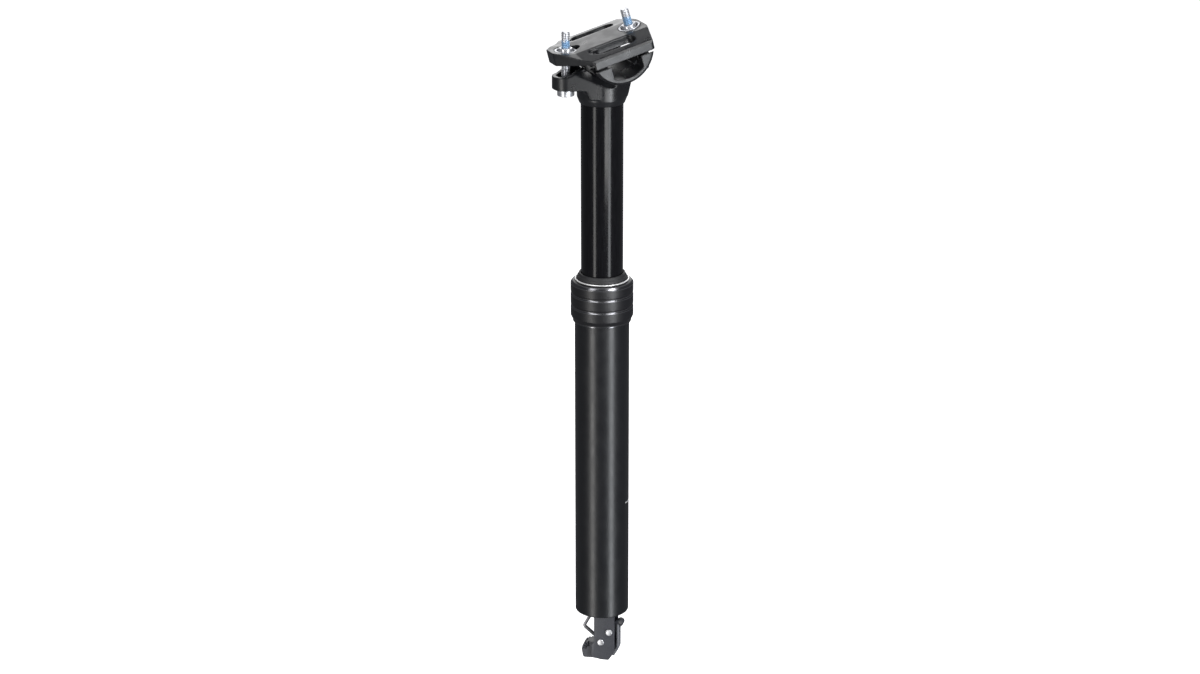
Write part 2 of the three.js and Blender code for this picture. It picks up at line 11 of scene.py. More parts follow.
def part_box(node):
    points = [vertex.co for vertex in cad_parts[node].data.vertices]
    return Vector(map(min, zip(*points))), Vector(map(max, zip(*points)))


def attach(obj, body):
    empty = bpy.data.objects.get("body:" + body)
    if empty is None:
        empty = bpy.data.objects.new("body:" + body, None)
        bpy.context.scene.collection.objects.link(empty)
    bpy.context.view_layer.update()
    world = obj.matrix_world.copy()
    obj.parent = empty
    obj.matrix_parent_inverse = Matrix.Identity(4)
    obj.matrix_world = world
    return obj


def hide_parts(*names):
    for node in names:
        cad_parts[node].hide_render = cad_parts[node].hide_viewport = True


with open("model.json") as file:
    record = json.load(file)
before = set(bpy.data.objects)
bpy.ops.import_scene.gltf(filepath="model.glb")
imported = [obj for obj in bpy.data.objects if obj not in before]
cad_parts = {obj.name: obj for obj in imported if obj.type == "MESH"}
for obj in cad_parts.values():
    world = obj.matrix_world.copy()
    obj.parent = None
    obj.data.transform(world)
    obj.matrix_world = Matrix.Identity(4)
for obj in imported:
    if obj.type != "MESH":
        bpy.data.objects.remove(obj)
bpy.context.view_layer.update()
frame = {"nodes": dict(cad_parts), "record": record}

MM = 0.001
TAU = 2 * math.pi
TINY = 1e-6
SCENE = bpy.context.scene
RECORD = frame["record"]
JOINTS = {joint["name"]: joint for joint in RECORD["behaviour"]["joints"]}
BODIES = RECORD["behaviour"]["bodies"]
BODY_OF = {node: body for body, nodes in BODIES.items() for node in nodes}


# ---- places read from the frame, in millimetres ----
def node_box(name):
    low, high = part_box(name)
    return Vector(low) / MM, Vector(high) / MM


TUBE_LOW, TUBE_HIGH = node_box("outer_tube")
TUBE_R = TUBE_HIGH.x
COLLAR_HIGH = node_box("seal_collar")[1]
COLLAR_R = COLLAR_HIGH.x
STANCHION_LOW, STANCHION_HIGH = node_box("stanchion")
STANCHION_R = STANCHION_HIGH.x
HEAD_LOW = node_box("head")[0]
BRACKET_LOW = node_box("actuator_bracket")[0]
WING_Y = node_box("upper_plate")[1].y
CLAMP = Vector(JOINTS["clamp_tilt"]["pos_m"]) / MM
LEVER_PIVOT = Vector(JOINTS["lever_pivot"]["pos_m"]) / MM
LEVER_AXIS = Vector(JOINTS["lever_pivot"]["axis"])
REAR_AXIS = Vector(JOINTS["rear_nut_travel"]["axis"])

# ---- sizes that the frame doesn't name ----
# Saddle clamp, measured along the rails and square to them from the clamp's axis.
TILT = math.radians(14.7)
CRADLE_R = 19.3
CRADLE_TOP = -6.5
RAIL_R = 3.6
RAIL_Y = 21.5
RAIL_H = -5.65
WING_BOTTOM = -5.3
NOSE_BEND = -21.5
SPINE_TOP = 2.6
# Bolts and nuts. A grip runs from the nut's centre down to the face over its bolt's head.
NUT_H = 2.4
FRONT_NUT_A = -23.6
REAR_NUT_A = 16.2
FRONT_GRIP = 21.4
REAR_GRIP = 21.8
STUD = 11.25
BOLT_R = 2.5
THREAD_PITCH = 1.0
GAP = 0.3
# Head: the neck's radius, and two heights over the collar's underside.
NECK_R = 14.3
NECK_TOP = 147
ARM_TOP = 147.6
# Collar: height and half width of each polished edge, and height of each groove.
COLLAR_EDGES = ((0.4, 0.5), (9.2, 0.6), (16.6, 0.6), (23.6, 1.0))
GROOVES = (9.8, 17.2)
INSERTION_Z = -112
# Release: the bracket's two cheeks and its disc.
CHEEK_IN = 4.4
CHEEK_OUT = 6.2
DISC_R = 13.4
DISC_LOW = -184
DISC_HIGH = -181.3
RIVET_HOLE_R = 1.65

CLAMP_PLACE = Matrix.Translation(CLAMP) @ Matrix.Rotation(-TILT, 4, "Y")
FRONT_NUT = CLAMP_PLACE @ Vector((FRONT_NUT_A, 0, NUT_H))
REAR_NUT = CLAMP_PLACE @ Vector((REAR_NUT_A, 0, NUT_H))
FRONT_PLACE = Matrix.Translation(FRONT_NUT)
REAR_LEAN = math.atan2(REAR_AXIS.x, REAR_AXIS.z)
REAR_PLACE = Matrix.Translation(REAR_NUT) @ Matrix.Rotation(REAR_LEAN, 4, "Y")
RELEASE_PLACE = Matrix.Rotation(math.atan2(-LEVER_AXIS.x, LEVER_AXIS.y), 4, "Z")
# Centres in the release's own frame, before it is turned.
PIVOT = RELEASE_PLACE.inverted() @ LEVER_PIVOT
FOOT_PIN = Vector((0.7, 0, -203))
BARREL = Vector((11.45, 0, -191.25))
QUADRANT = (-6.6, -209.5)


# ---- mesh tools ----
def in_scene(name, bm):
    mesh = bpy.data.meshes.new(name)
    bm.to_mesh(mesh)
    bm.free()
    obj = bpy.data.objects.new(name, mesh)
    SCENE.collection.objects.link(obj)
    return obj


def paint(obj, material):
    obj.data.materials.clear()
    obj.data.materials.append(material)


def as_object(name, bm, place=None):
    """The finished bmesh as an object in the scene, moved by a placing matrix if one is given."""
    bmesh.ops.recalc_face_normals(bm, faces=bm.faces)
    if place is not None:
        bm.transform(place)
    return in_scene(name, bm)


def fillet(corners, steps=5):
    """Outline through corners (x, y, radius), each rounded to its radius by an arc."""
    points = []
    count = len(corners)
    for i, (x, y, radius) in enumerate(corners):
        here = Vector((x, y))
        before = Vector(corners[i - 1][:2]) - here
        after = Vector(corners[(i + 1) % count][:2]) - here
        if radius <= 0:
            points.append(here)
            continue
        half = before.angle(after) / 2
        reach = min(radius / math.tan(half), before.length * 0.49, after.length * 0.49)
        start = here + before.normalized() * reach
        end = here + after.normalized() * reach
        for k in range(steps + 1):
            t = k / steps
            points.append((1 - t) ** 2 * start + 2 * t * (1 - t) * here + t**2 * end)
    return [(p.x, p.y) for p in points]


def circle(x, y, r, steps=32):
    turns = [k * TAU / steps for k in range(steps)]
    return [(x + r * math.cos(turn), y + r * math.sin(turn)) for turn in turns]


def lathe(name, profile, steps=96, place=None):
    """A closed outline of radius, height turned round Z."""
    bm = bmesh.new()
    rings = []
    for r, z in profile:
        outline = circle(0, 0, r, steps) if r > TINY else [(0, 0)]
        rings.append([bm.verts.new((x, y, z)) for x, y in outline])
    for i, ring in enumerate(rings):
        other = rings[(i + 1) % len(rings)]
        for k in range(steps):
            quad = [ring[k % len(ring)], ring[(k + 1) % len(ring)],
                    other[(k + 1) % len(other)], other[k % len(other)]]
            unique = list(dict.fromkeys(quad))
            if len(unique) > 2:
                bm.faces.new(unique)
    return as_object(name, bm, place)


def skin(bm, rings):
    """Side faces between rings with equal counts of vertices, and a flat cap at each end."""
    sides = len(rings[0])
    for lower, upper in zip(rings, rings[1:]):
        for k in range(sides):
            other = (k + 1) % sides
            bm.faces.new([lower[k], lower[other], upper[other], upper[k]])
    bm.faces.new(list(reversed(rings[0])))
    bm.faces.new(rings[-1])


def prism(name, outline, low, high, axis="Y", place=None):
    """A closed outline extruded between two values along an axis. Along Y the outline is x, z."""
    to_space = {
        "X": lambda p, t: (t, p[0], p[1]),
        "Y": lambda p, t: (p[0], t, p[1]),
        "Z": lambda p, t: (p[0], p[1], t),
    }[axis]
    bm = bmesh.new()
    near = [bm.verts.new(to_space(p, low)) for p in outline]
    far = [bm.verts.new(to_space(p, high)) for p in outline]
    bm.faces.new(near)
    bm.faces.new(list(reversed(far)))
    for i in range(len(outline)):
        k = (i + 1) % len(outline)
        bm.faces.new([near[i], near[k], far[k], far[i]])
    return as_object(name, bm, place)


def hull(points):
    """The convex outline round points, anticlockwise."""
    points = sorted(set((round(x, 5), round(y, 5)) for x, y in points))

    def half(sequence):
        chain = []
        for p in sequence:
            while len(chain) > 1:
                (ox, oy), (qx, qy) = chain[-2], chain[-1]
                if (qx - ox) * (p[1] - oy) - (qy - oy) * (p[0] - ox) > 1e-9:
                    break
                chain.pop()
            chain.append(p)
        return chain[:-1]

    return half(points) + half(reversed(points))


def belt(circles, steps=32):
    """The outline of a belt drawn tight round circles (x, y, radius)."""
    return hull([p for x, y, r in circles for p in circle(x, y, r, steps)])


def rod(name, r, low, high, axis="Z", centre=(0, 0), steps=48, place=None):
    return prism(name, circle(centre[0], centre[1], r, steps), low, high, axis, place)


def block(name, low, high):
    outline = [(low[0], low[1]), (high[0], low[1]), (high[0], high[1]), (low[0], high[1])]
    return prism(name, outline, low[2], high[2], "Z")


def settle(obj):
    """Replaces the object's mesh with what its modifiers make of it."""
    bpy.context.view_layer.update()
    evaluated = obj.evaluated_get(bpy.context.evaluated_depsgraph_get())
    mesh = bpy.data.meshes.new_from_object(evaluated)
    obj.modifiers.clear()
    obj.data = mesh


def combine(obj, tools, operation):
    """An exact boolean with each tool in turn. The tools are used up."""
    for tool in tools:
        modifier = obj.modifiers.new("combine", "BOOLEAN")
        modifier.operation = operation
        modifier.solver = "EXACT"
        modifier.object = tool
        settle(obj)
        bpy.data.objects.remove(tool)


def cut(obj, *tools):
    combine(obj, tools, "DIFFERENCE")


def unite(obj, *tools):
    combine(obj, tools, "UNION")


def common(obj, *tools):
    combine(obj, tools, "INTERSECT")


def forge(obj, voxel, rounds):
    """Softens every edge and corner, as on a forged or cast piece."""
    remesh = obj.modifiers.new("forge", "REMESH")
    remesh.mode = "VOXEL"
    remesh.voxel_size = voxel
    smooth = obj.modifiers.new("soften", "SMOOTH")
    smooth.factor = 0.5
    smooth.iterations = rounds
    thin = obj.modifiers.new("thin", "DECIMATE")
    thin.ratio = 0.5
    settle(obj)


def bevel(obj, width, segments):
    modifier = obj.modifiers.new("bevel", "BEVEL")
    modifier.width = width
    modifier.segments = segments
    modifier.limit_method = "ANGLE"
    modifier.angle_limit = math.radians(30)
    settle(obj)


def smooth_faces(obj, angle):
    """Smooth shading, but sharp over every edge that turns by more than the angle in degrees."""
    for face in obj.data.polygons:
        face.use_smooth = True
    obj.data.set_sharp_from_angle(angle=math.radians(angle))


def join_meshes(name, *objects):
    bm = bmesh.new()
    for obj in objects:
        bm.from_mesh(obj.data)
        bpy.data.objects.remove(obj)
    return in_scene(name, bm)


def stands_for(obj, node, material, angle=35):
    """The piece, drawn in millimetres, takes a CAD node's place and body, and is painted with the
    given material.
    """
    obj.data.transform(Matrix.Scale(MM, 4))
    smooth_faces(obj, angle)
    paint(obj, material)
    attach(obj, BODY_OF[node])
    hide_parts(node)


# ---- materials ----
MIX_LOWER, MIX_TOP, MIX_OUT = 6, 7, 2  # the Mix node's colour sockets
WHITE_LINE = (0.75, 0.75, 0.75)
POLISHED_EDGE = (0.16, 0.16, 0.17)
LOCKING_BLUE = (0.22, 0.42, 0.66)


def principled(name, colour, roughness, metallic=0.0, **sockets):
    material = bpy.data.materials.new(name)
    material.use_nodes = True
    shader = material.node_tree.nodes["Principled BSDF"]
    shader.inputs["Base Color"].default_value = (*colour, 1)
    shader.inputs["Roughness"].default_value = roughness
    shader.inputs["Metallic"].default_value = metallic
    for socket, value in sockets.items():
        shader.inputs[socket.replace("_", " ")].default_value = value
    return material, shader


def add(material, kind, **inputs):
    """A new node in the material's tree, with constants on its sockets."""
    node = material.node_tree.nodes.new(kind)
    for socket, value in inputs.items():
        node.inputs[socket.replace("_", " ")].default_value = value
    return node


def link(material, output, target):
    material.node_tree.links.new(output, target)


def coordinates(material, stretch=(1, 1, 1)):
    """Object coordinates in millimetres, stretched along the axes."""
    source = add(material, "ShaderNodeTexCoord")
    mapping = add(material, "ShaderNodeMapping")
    mapping.inputs["Scale"].default_value = [s / MM for s in stretch]
    link(material, source.outputs["Object"], mapping.inputs["Vector"])
    return mapping.outputs["Vector"]


def noise(material, vector, scale, detail=3.0, roughness=0.5):
    node = add(material, "ShaderNodeTexNoise", Scale=scale, Detail=detail, Roughness=roughness)
    link(material, vector, node.inputs["Vector"])
    return node.outputs["Fac"]


def spread(material, value, low, high, source_low=0.35, source_high=0.65):
    """The value, mapped from source_low..source_high to low..high and held at the ends."""
    node = add(material, "ShaderNodeMapRange")
    node.inputs["From Min"].default_value = source_low
    node.inputs["From Max"].default_value = source_high
    node.inputs["To Min"].default_value = low
    node.inputs["To Max"].default_value = high
    link(material, value, node.inputs["Value"])
    return node.outputs["Result"]


def colour_mix(material, shader, value, top):
    """A colour mix on the shader's base colour. Returns the socket of its lower colour."""
    mix = add(material, "ShaderNodeMix")
    mix.data_type = "RGBA"
    mix.inputs[MIX_TOP].default_value = (*top, 1)
    link(material, value, mix.inputs["Factor"])
    link(material, mix.outputs[MIX_OUT], shader.inputs["Base Color"])
    return mix.inputs[MIX_LOWER]


def tinted(material, shader, value, colour, darker, lighter):
    """The colour varies with the value, between a darker and a lighter multiple of itself."""
    light = [min(1, c * lighter) for c in colour]
    lower = colour_mix(material, shader, value, light)
    lower.default_value = (*[c * darker for c in colour], 1)


def marked(material, shader, mask, colour):
    """A second colour wherever the mask is 1, over the base colour that is there."""
    base = shader.inputs["Base Color"].links[0].from_socket
    link(material, base, colour_mix(material, shader, mask, colour))


def bumped(material, shader, value, distance):
    """Fine relief of the given depth in millimetres."""
    bump = add(material, "ShaderNodeBump", Strength=1.0, Distance=distance * MM)
    link(material, value, bump.inputs["Height"])
    link(material, bump.outputs["Normal"], shader.inputs["Normal"])


def math_node(material, operation, first, second=0.0):
    """A Math node. Each operand is a socket or a constant."""
    node = add(material, "ShaderNodeMath")
    node.operation = operation
    for socket, value in zip(node.inputs, (first, second)):
        if hasattr(value, "links"):
            link(material, value, socket)
        else:
            socket.default_value = value
    return node.outputs["Value"]


def anodised(
    name, colour, roughness, grain, grain_depth, stretch=(1, 1, 1), vary=0.05, **sockets,
):
    """Anodised aluminium: grain from blasting, drawing or turning, and slightly uneven gloss."""
    material, shader = principled(name, colour, roughness, **sockets)
    vector = coordinates(material, stretch)
    fine = noise(material, vector, grain, 4.0, 0.6)
    broad = noise(material, coordinates(material), 0.12, 2.0)
    rough = spread(material, broad, roughness - vary, roughness + vary)
    link(material, rough, shader.inputs["Roughness"])
    tinted(material, shader, spread(material, fine, 0, 1), colour, 0.75, 1.3)
    bumped(material, shader, fine, grain_depth)
    return material, shader


def x_and_z(material):
    """The object coordinates' X and Z, in millimetres."""
    split = add(material, "ShaderNodeSeparateXYZ")
    link(material, coordinates(material), split.inputs["Vector"])
    return split.outputs["X"], split.outputs["Z"]


def distance(material, value, target):
    return math_node(material, "ABSOLUTE", math_node(material, "ADD", value, -target))


def outer_tube_finish():
    """Satin black with a plain white line round the rear, at the least insertion."""
    material, shader = anodised(
        "satin_black_tube", (0.006, 0.0065, 0.008), 0.34, grain=2.2, grain_depth=0.008,
        stretch=(1, 1, 0.25), vary=0.03, Specular_IOR_Level=0.55)
    half_width = 0.3
    half_arc = math.radians(52)
    x, z = x_and_z(material)
    near_line = math_node(material, "LESS_THAN", distance(material, z, INSERTION_Z), half_width)
    at_rear = math_node(material, "GREATER_THAN", x, TUBE_R * math.cos(half_arc))
    marked(material, shader, math_node(material, "MULTIPLY", near_line, at_rear), WHITE_LINE)
    return material


def collar_finish():
    """Black anodising, satin on the barrel and polished bright on every turned edge."""
    material, shader = anodised(
        "gloss_black_collar", (0.006, 0.006, 0.0075), 0.3, grain=1.6, grain_depth=0.004,
        stretch=(0.05, 0.05, 2), vary=0.04)
    z = x_and_z(material)[1]
    mask = 0.0
    for height, half in COLLAR_EDGES:
        edge = spread(material, distance(material, z, height), 1, 0, half * 0.5, half)
        mask = math_node(material, "ADD", edge, mask)
    mask = math_node(material, "MINIMUM", mask, 1.0)
    marked(material, shader, mask, POLISHED_EDGE)
    link(material, mask, shader.inputs["Metallic"])
    link(material, spread(material, mask, 0.4, 0.2, 0, 1), shader.inputs["Roughness"])
    return material


def zinc(name, colour=(0.66, 0.67, 0.7), roughness=0.32, metallic=0.8):
    """Bright plating or polish, finely mottled."""
    material, shader = principled(name, colour, roughness, metallic)
    fine = noise(material, coordinates(material), 3.0, 4.0, 0.6)
    broad = noise(material, coordinates(material), 0.5, 2.0)
    rough = spread(material, broad, roughness - 0.06, roughness + 0.08)
    link(material, rough, shader.inputs["Roughness"])
    tinted(material, shader, spread(material, fine, 0, 1), colour, 0.85, 1.12)
    bumped(material, shader, fine, 0.006)
    return material, shader


def threadlocked_zinc(name, place, low, high):
    """Zinc with a band of blue patch locking the thread, patchy at its edges."""
    material, shader = zinc(name)
    source = add(material, "ShaderNodeTexCoord")
    inverse = place.inverted()
    along = inverse.to_3x3().row[2]
    project = add(material, "ShaderNodeVectorMath")
    project.operation = "DOT_PRODUCT"
    project.inputs[1].default_value = [c / MM for c in along]
    link(material, source.outputs["Object"], project.inputs[0])
    height = math_node(material, "ADD", project.outputs["Value"], inverse.translation.z)
    patchy = spread(material, noise(material, coordinates(material), 0.9, 3.0), -0.9, 0.9)
    ragged = math_node(material, "ADD", height, patchy)
    above = spread(material, ragged, 0, 1, low - 0.5, low + 0.5)
    below = spread(material, ragged, 1, 0, high - 0.6, high + 0.6)
    band = math_node(material, "MULTIPLY", above, below)
    mask = math_node(material, "MULTIPLY", band, 0.9)
    marked(material, shader, mask, LOCKING_BLUE)
    link(material, spread(material, mask, 0.8, 0.25, 0, 1), shader.inputs["Metallic"])
    return material


def rubber():
    material, shader = principled("wiper_rubber", (0.016, 0.016, 0.018), 0.55)
    fine = noise(material, coordinates(material), 4.0, 4.0)
    link(material, spread(material, fine, 0.48, 0.62), shader.inputs["Roughness"])
    tinted(material, shader, spread(material, fine, 0, 1), (0.012, 0.012, 0.013), 1, 2)
    bumped(material, shader, fine, 0.01)
    return material


def machined(name, colour, roughness, metallic):
    """Turned metal or moulded plastic, with fine rings round the post's axis."""
    material, shader = principled(name, colour, roughness, metallic)
    rings = noise(material, coordinates(material, (0.02, 0.02, 3)), 1.5, 3.0)
    rough = spread(material, rings, roughness - 0.07, roughness + 0.07)
    link(material, rough, shader.inputs["Roughness"])
    tinted(material, shader, spread(material, rings, 0, 1), colour, 0.85, 1.1)
    bumped(material, shader, rings, 0.008)
    return material


SATIN = outer_tube_finish()
GLOSS = collar_finish()
STANCHION = anodised(
    "polished_black_stanchion", (0.005, 0.005, 0.006), 0.16, grain=1.2, grain_depth=0.0015,
    stretch=(1, 1, 0.1), vary=0.02, Specular_IOR_Level=0.22)[0]
FORGED = anodised(
    "forged_black", (0.008, 0.0085, 0.01), 0.32, grain=2.0, grain_depth=0.004,
    Specular_IOR_Level=0.55)[0]
CAST = anodised("release_dark_grey", (0.045, 0.047, 0.056), 0.45, grain=2.6, grain_depth=0.03)[0]
GUARD = anodised("release_light_grey", (0.16, 0.165, 0.18), 0.4, grain=2.6, grain_depth=0.02)[0]
ZINC = zinc("zinc_plated")[0]
PIN = zinc("polished_pin", (0.8, 0.8, 0.82), 0.3)[0]
RING = zinc("bright_ring", (0.92, 0.92, 0.93), 0.3, 0.4)[0]
SPRING = zinc("dark_spring_wire", (0.16, 0.16, 0.17), 0.35)[0]
RUBBER = rubber()
NYLON = machined("guide_nylon", (0.045, 0.045, 0.047), 0.5, 0.0)
BRASS = machined("key_brass", (0.6, 0.42, 0.16), 0.32, 1.0)
BARE = machined("turned_aluminium", (0.62, 0.63, 0.65), 0.3, 1.0)
STEEL = machined("ground_steel", (0.6, 0.6, 0.62), 0.22, 1.0)


# ---- outer tube, collar and seals ----
def make_outer_tube():
    """The tube, open at the top and rounded at its lower edge."""
    inner = node_box("base_plug")[1].x + 0.15
    profile = fillet([
        (inner, TUBE_LOW.z, 0.2),
        (TUBE_R, TUBE_LOW.z, 1.9),
        (TUBE_R, TUBE_HIGH.z, 0),
        (inner, TUBE_HIGH.z, 0),
    ], 8)
    stands_for(lathe("outer_tube_body", profile, 128), "outer_tube", SATIN)


def groove(z, depth=0.55, half=0.95):
    """A turned groove with a rounded shoulder above and below."""
    return [
        (COLLAR_R, z - half, 0.35),
        (COLLAR_R - depth, z - half * 0.45, 0.2),
        (COLLAR_R - depth, z + half * 0.45, 0.2),
        (COLLAR_R, z + half, 0.35),
    ]


def make_collar():
    top = COLLAR_HIGH.z
    seal_seat_r, seal_seat_z = 14.7, 14.4
    profile = fillet([
        (TUBE_R + 0.15, 0, 0),
        (TUBE_R + 1.05, 0, 0.3),
        (TUBE_R + 1.15, 1.3, 0.2),
        (COLLAR_R, 3.6, 0.9),
        *[corner for z in GROOVES for corner in groove(z)],
        (COLLAR_R, top - 1.7, 0.9),
        (COLLAR_R - 1.2, top - 0.2, 0.8),
        (COLLAR_R - 1.9, top - 0.15, 0.3),
        (COLLAR_R - 2.2, top, 0.3),
        (seal_seat_r, top, 0.1),
        (seal_seat_r, seal_seat_z, 0),
        (TUBE_R + 0.15, seal_seat_z, 0),
    ])
    stands_for(lathe("seal_collar_body", profile, 128), "seal_collar", GLOSS, 50)


def make_wiper():
    """The rubber lip round the sliding tube, and the bright wire ring that presses it."""
    seal = fillet([
        (12.75, 20.4, 0),
        (14.3, 20.4, 0),
        (14.3, 25.4, 0.1),
        (14.6, 25.8, 0.25),
        (14.2, 27.3, 0.3),
        (13.8, 27.5, 0.15),
        (13.4, 28.9, 0.4),
        (12.45, 29.25, 0.2),
        (12.4, 28.2, 0),
        (12.75, 27.2, 0),
    ])
    stands_for(lathe("wiper_seal_lip", seal, 128), "wiper_seal", RUBBER, 45)
    low, high = node_box("wiper_ring")
    middle = (low.z + high.z) / 2
    steps, wide, tall = 12, 0.47, 0.36
    centre = high.x - 0.5
    turns = [k * TAU / steps for k in range(steps)]
    ring = [(centre + wide * math.cos(turn), middle + tall * math.sin(turn)) for turn in turns]
    stands_for(lathe("wiper_ring_wire", ring, 128), "wiper_ring", RING, 60)


def make_stanchion():
    inner = node_box("cylinder_top_plug")[1].x + 0.5
    profile = fillet([
        (inner, STANCHION_LOW.z, 0.3),
        (STANCHION_R, STANCHION_LOW.z, 0.5),
        (STANCHION_R, STANCHION_HIGH.z, 0),
        (inner, STANCHION_HIGH.z, 0),
    ])
    stands_for(lathe("stanchion_tube", profile, 128), "stanchion", STANCHION)


# ---- head ----
def from_clamp(a, h):
    """X and Z of a point given along the rails and square to them."""
    place = CLAMP_PLACE @ Vector((a, 0, h))
    return place.x, place.z


def make_head():
    """Neck, front arm with a long hole for its bolt, rear ear, and the cradle's round seat."""
    seat = FRONT_NUT.z - FRONT_GRIP
    low, high = 120, 180
    base = 134.6
    arm_front = -30.2
    ear_rear, ear_top, ear_low = 20.8, -12.7, -19.6
    neck = lathe("neck", fillet([
        (0, HEAD_LOW.z, 0),
        (12.8, HEAD_LOW.z, 0.3),
        (NECK_R, HEAD_LOW.z + 3.6, 1.2),
        (NECK_R, NECK_TOP, 0),
        (0, NECK_TOP, 0),
    ]), 96)
    profile = fillet([
        (-11.6, base, 0),
        (-13.6, seat - 0.5, 2),
        (-17, seat, 1),
        (arm_front, seat, 1.4),
        (arm_front, ARM_TOP, 1.6),
        (-25, ARM_TOP, 3),
        (-12.3, 153.4, 1),
        (-12.3, 158, 0),
        (*from_clamp(9.8, -8), 0),
        (*from_clamp(10.6, ear_top), 0),
        (*from_clamp(ear_rear, ear_top), 1.6),
        (*from_clamp(ear_rear, ear_low), 1.6),
        (*from_clamp(9.6, ear_low), 1.5),
        (13.8, 141, 2),
        (11.6, base, 0),
    ])
    head = prism("head_forging", profile, -15, 15)
    plan = belt([(0, 0, NECK_R - 0.07), (-21.6, 0, 8.2), (20.5, 0, 5.2)], 60)
    common(head, prism("plan", plan, low, high, "Z"))
    unite(head, neck)
    for side in (-1, 1):
        away = [(8 * side, 151), (8 * side, 165), (18 * side, 165), (18 * side, 135)]
        cut(head, prism("flank", away, -40, 2.6, "X"))
    cut(
        head,
        rod("seat", CRADLE_R + GAP, -20, 20, "Y", (CLAMP.x, CLAMP.z), 96),
        rod("bore", STANCHION_R + 0.1, low, STANCHION_HIGH.z + 0.3, "Z", steps=96),
        rod("front_hole", BOLT_R + GAP, low, high, "Z", (FRONT_NUT.x, 0), 32),
        prism("front_pocket", belt([(-22.6, 0, 4.7), (-16, 0, 4.7)]), 143.4, high, "Z"),
        rod("rear_hole", BOLT_R + GAP, -34, -6, "Z", steps=32, place=REAR_PLACE),
        rod("rear_spot", 5.6, -REAR_GRIP - 9, -REAR_GRIP, "Z", place=REAR_PLACE),
    )
    forge(head, 0.3, 6)
    stands_for(head, "head", FORGED, 60)


# ---- saddle clamp ----
def rail_channels():
    """Cutters for the half-round seats of the saddle's two rails."""
    return [rod("channel", RAIL_R, -40, 40, "X", (side * RAIL_Y, RAIL_H)) for side in (-1, 1)]


def make_cradle():
    """A drum across the post, cut open above and within, with a wide window through it."""
    edge = 1.3
    outline = fillet([
        (0, -WING_Y, 0),
        (CRADLE_R - edge, -WING_Y, 0.2),
        (CRADLE_R, -WING_Y + edge, 0.3),
        (CRADLE_R, WING_Y - edge, 0.3),
        (CRADLE_R - edge, WING_Y, 0.2),
        (0, WING_Y, 0),
    ])
    drum = lathe("lower_cradle_forging", outline, 128, Matrix.Rotation(-math.pi / 2, 4, "X"))
    inside = CRADLE_R - 3.2
    left, right, steps = -8.2, 9.7, 16
    stations = [left + (right - left) * k / steps for k in range(steps + 1)]
    arc = [(a, -math.sqrt(inside**2 - a**2)) for a in stations]
    window = [(left, CRADLE_TOP + 1), *arc, (right, CRADLE_TOP + 1)]
    far, wide = 25, 30
    between = 16.4
    cut(
        drum,
        block("upper", (-far, -wide, CRADLE_TOP), (far, wide, far)),
        prism("window", window, -wide, wide),
        block("middle", (-far, -between, -12.2), (far, between, 0)),
        block("behind", (9, -between, -far), (far, between, 0)),
        block("ahead", (-far, -between, -far), (-16.2, between, 0)),
        *rail_channels(),
    )
    forge(drum, 0.3, 4)
    drum.data.transform(CLAMP_PLACE)
    stands_for(drum, "lower_cradle", FORGED, 60)


def plate_outline():
    """The plate from above: a narrow nose, square wings and a blunt tail."""
    corners = [(-31.8, 4.4, 1.2), (-16.7, WING_Y - 1.5, 1.5), (17.2, WING_Y - 2, 2), (22, 6, 2.5)]
    return belt([(a, side * y, r) for a, y, r in corners for side in (-1, 1)])


def crown(name, front, rear, bottom, place=None):
    """The plate's crowned section, between a front and a rear value along the rails."""
    half = WING_Y
    section = fillet([
        (-half, bottom, 0),
        (half, bottom, 0),
        (half, -0.9, 0.2),
        (half - 1.3, 0.3, 0.3),
        (10, SPINE_TOP - 0.1, 2.5),
        (-10, SPINE_TOP - 0.1, 2.5),
        (-half + 1.3, 0.3, 0.3),
        (-half, -0.9, 0.2),
    ])
    return prism(name, section, front, rear, "X", place)


def slot_cutter(name, front, rear, y, r, low=-13, high=13):
    """A cutter for a slot with round ends, along the rails."""
    return prism(name, belt([(front, y, r), (rear, y, r)]), low, high, "Z")


def make_plate():
    """A crowned plate with a bent nose, arched below, with slots and dished bolt seats."""
    bend = Matrix.Translation((NOSE_BEND, 0, SPINE_TOP)) @ Matrix.Rotation(TILT, 4, "Y")
    nose = crown("nose", -16, 3.3, -12, bend @ Matrix.Translation((0, 0, -SPINE_TOP)))
    plate = crown("upper_plate_forging", NOSE_BEND + 0.02, 28, WING_BOTTOM)
    unite(plate, nose)
    common(plate, prism("outline", plate_outline(), -14, 14, "Z"))
    arch = [
        (-17.3, -9),
        (17.3, -9),
        (17.1, WING_BOTTOM),
        (13, -2.2),
        (-13, -2.2),
        (-17.1, WING_BOTTOM),
    ]
    tools = [
        block("under_nose", (-40, -30, -20), (NOSE_BEND + 3.9, 30, -2.25)),
        prism("arch", arch, -30.5, 30, "X"),
        slot_cutter("front_slot", -26.4, -18.4, 0, 3.3),
        slot_cutter("rear_slot", 13.4, 18.2, 0, 3.3),
    ]
    for side in (-1, 1):
        tools.append(slot_cutter("slot", -8.7, 7.9, side * 16, 4.5))
        tools.append(slot_cutter("hollow", -12.4, 9, side * 14.4, 3, 0.9, 10))
    cut(plate, *tools, *rail_channels())
    plate.data.transform(CLAMP_PLACE)
    over = 12
    for place in (FRONT_PLACE, REAR_PLACE):
        cut(
            plate,
            rod("washer_spot", 6.6, -0.9, over, "Z", place=place),
            rod("nut_spot", 4.9, -2.5, over, "Z", place=place),
        )
    forge(plate, 0.28, 3)
    stands_for(plate, "upper_plate", FORGED, 60)


